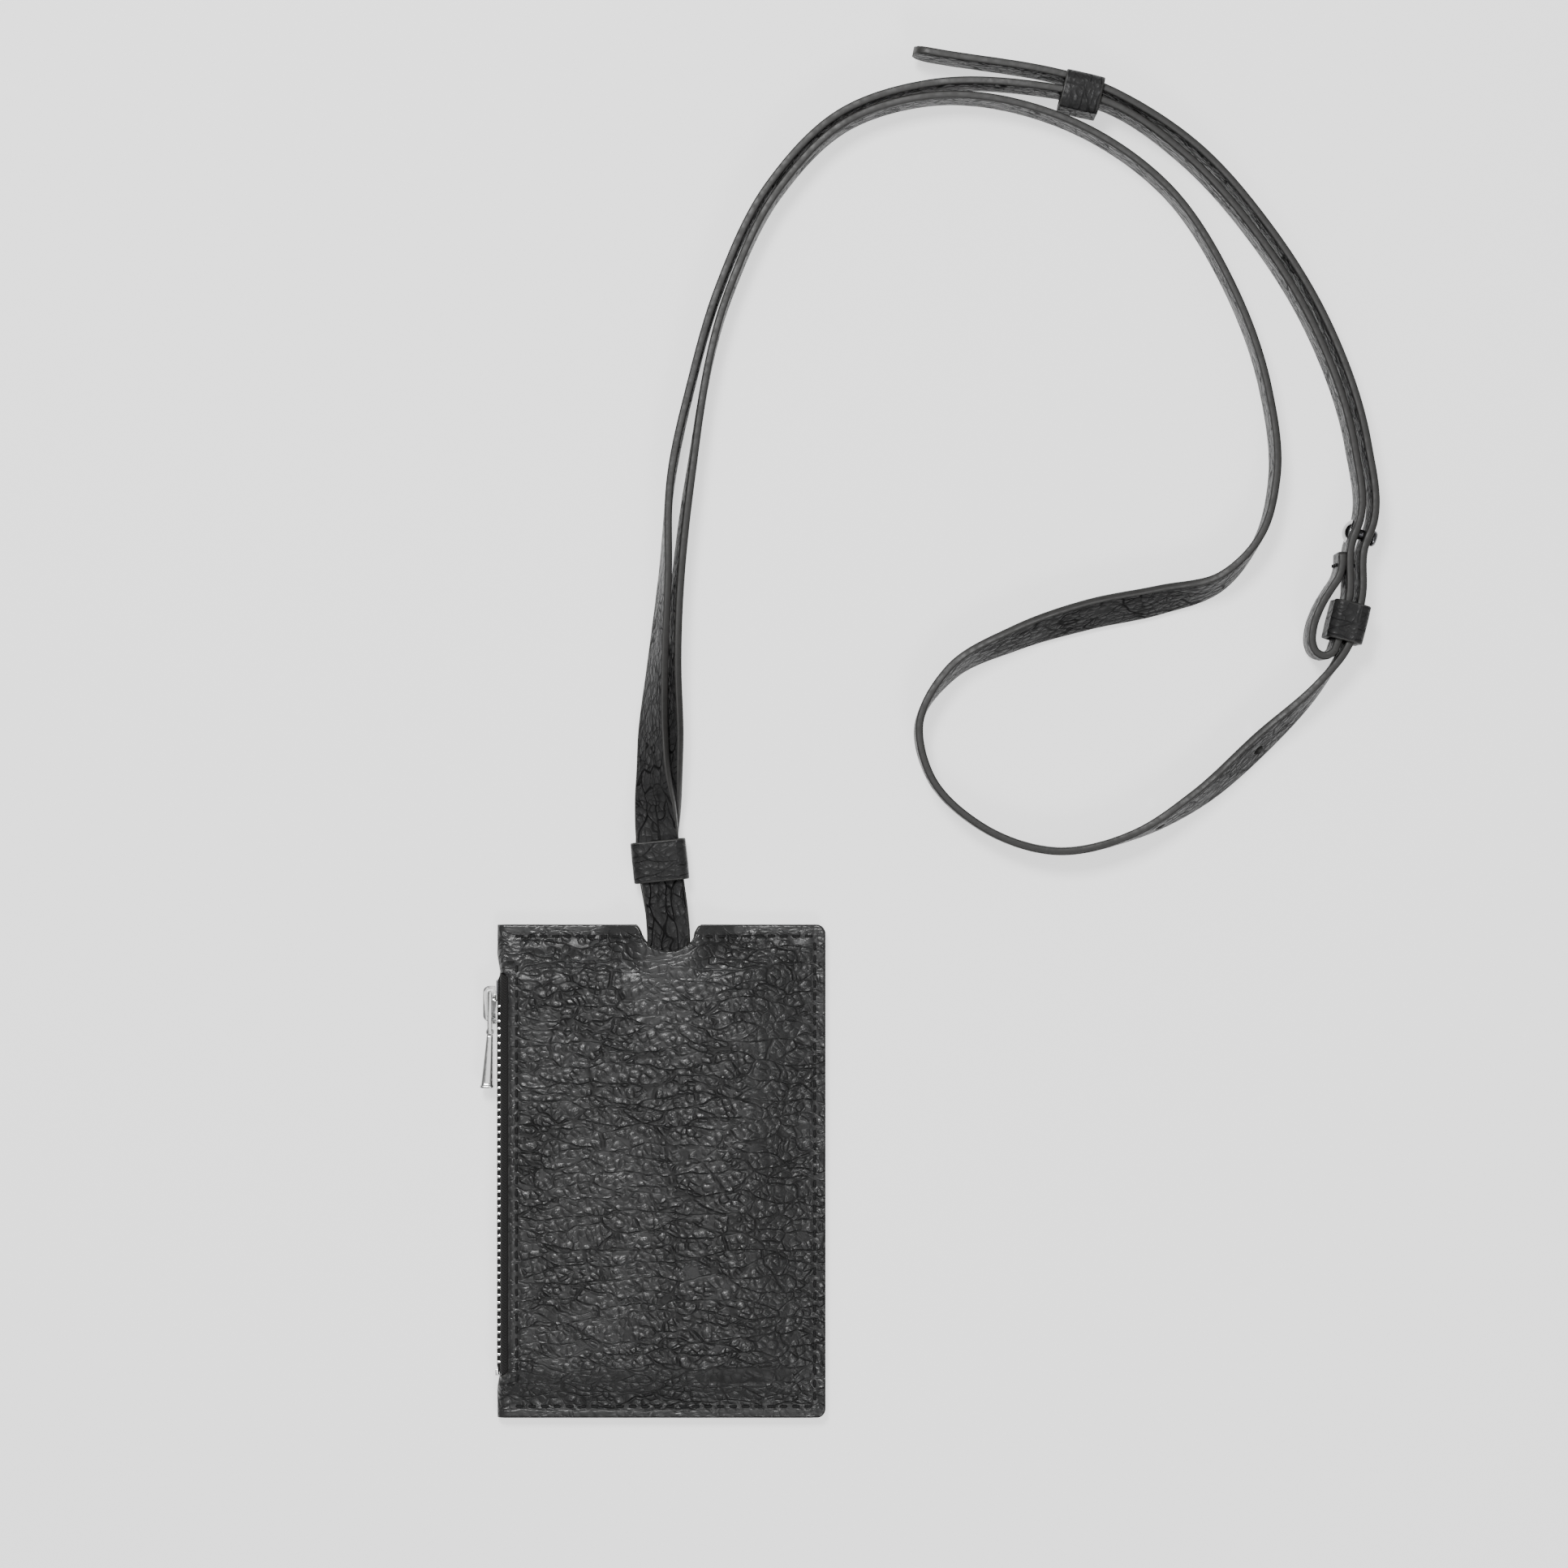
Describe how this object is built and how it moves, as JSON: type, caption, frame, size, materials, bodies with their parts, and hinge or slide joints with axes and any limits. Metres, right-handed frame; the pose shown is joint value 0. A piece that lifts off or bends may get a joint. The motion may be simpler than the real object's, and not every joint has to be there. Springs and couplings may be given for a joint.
{
  "type": "neck pouch wallet",
  "caption": "Flat black leather neck pouch with a metal zip let into its folded edge, hung on a long flat leather strap with sliding keepers and a collar stud.",
  "frame": {"origin": "centre of the pouch's back face", "axes": "+Y up the pouch towards the strap, +Z out of the front face, +X to the right seen from the front"},
  "size_m": [0.2182, 0.333, 0.0132],
  "materials": {
    "leather": "pebbled, satin",
    "strap_leather": "pebbled, satin, painted edges",
    "lining_cloth": "matt woven",
    "zip_tape": "matt woven",
    "bright_metal": "polished silver colour",
    "dark_metal": "polished dark",
    "thread": "waxed thread"
  },
  "bodies": {
    "pouch": {"outer_leather": "leather", "front_lining": "lining_cloth", "back_lining": "lining_cloth", "divider": "leather", "zip_tape_front": "zip_tape", "zip_tape_back": "zip_tape", "zip_teeth_front": "bright_metal", "zip_teeth_back": "bright_metal", "zip_top_stops": "dark_metal", "zip_bottom_stop": "bright_metal", "zip_seam_thread": "thread", "edge_seam_thread": "thread", "strap_short_leg": "strap_leather", "strap_long_leg": "strap_leather", "stud_screw": "bright_metal", "stud_post": "dark_metal", "loop_tack": "thread"},
    "slider": {"zip_slider": "bright_metal"},
    "link": {"pull_link": "bright_metal"},
    "tab": {"pull_tab": "bright_metal"},
    "pouch_keeper": {"keeper_pouch": "strap_leather"},
    "top_keeper": {"keeper_top": "strap_leather"},
    "lower_keeper": {"keeper_lower": "strap_leather"}
  },
  "joints": [
    {"name": "zip", "type": "slide", "parent": "pouch", "child": "slider", "axis": [0, -1, 0], "range_m": [0, 0.083], "deforming": ["zip_teeth_front", "zip_teeth_back"]},
    {"name": "link_swing", "type": "hinge", "parent": "slider", "child": "link", "pos_m": [-0.04165, 0.0436, 0.0041], "axis": [0, 0, -1], "range_deg": [0, 120]},
    {"name": "tab_swing", "type": "hinge", "parent": "link", "child": "tab", "pos_m": [-0.04165, 0.034, 0.0041], "axis": [0, 0, -1], "range_deg": [0, 80]},
    {"name": "pouch_keeper_slide", "type": "slide", "parent": "pouch", "child": "pouch_keeper", "axis": [-0.1011, 0.9949, 0], "range_m": [-0.01, 0]},
    {"name": "top_keeper_slide", "type": "slide", "parent": "pouch", "child": "top_keeper", "axis": [0.974, -0.2267, 0], "range_m": [-0.003, 0.003]},
    {"name": "lower_keeper_slide", "type": "slide", "parent": "pouch", "child": "lower_keeper", "axis": [0.2419, 0.9703, 0], "range_m": [0, 0.003]}
  ]
}
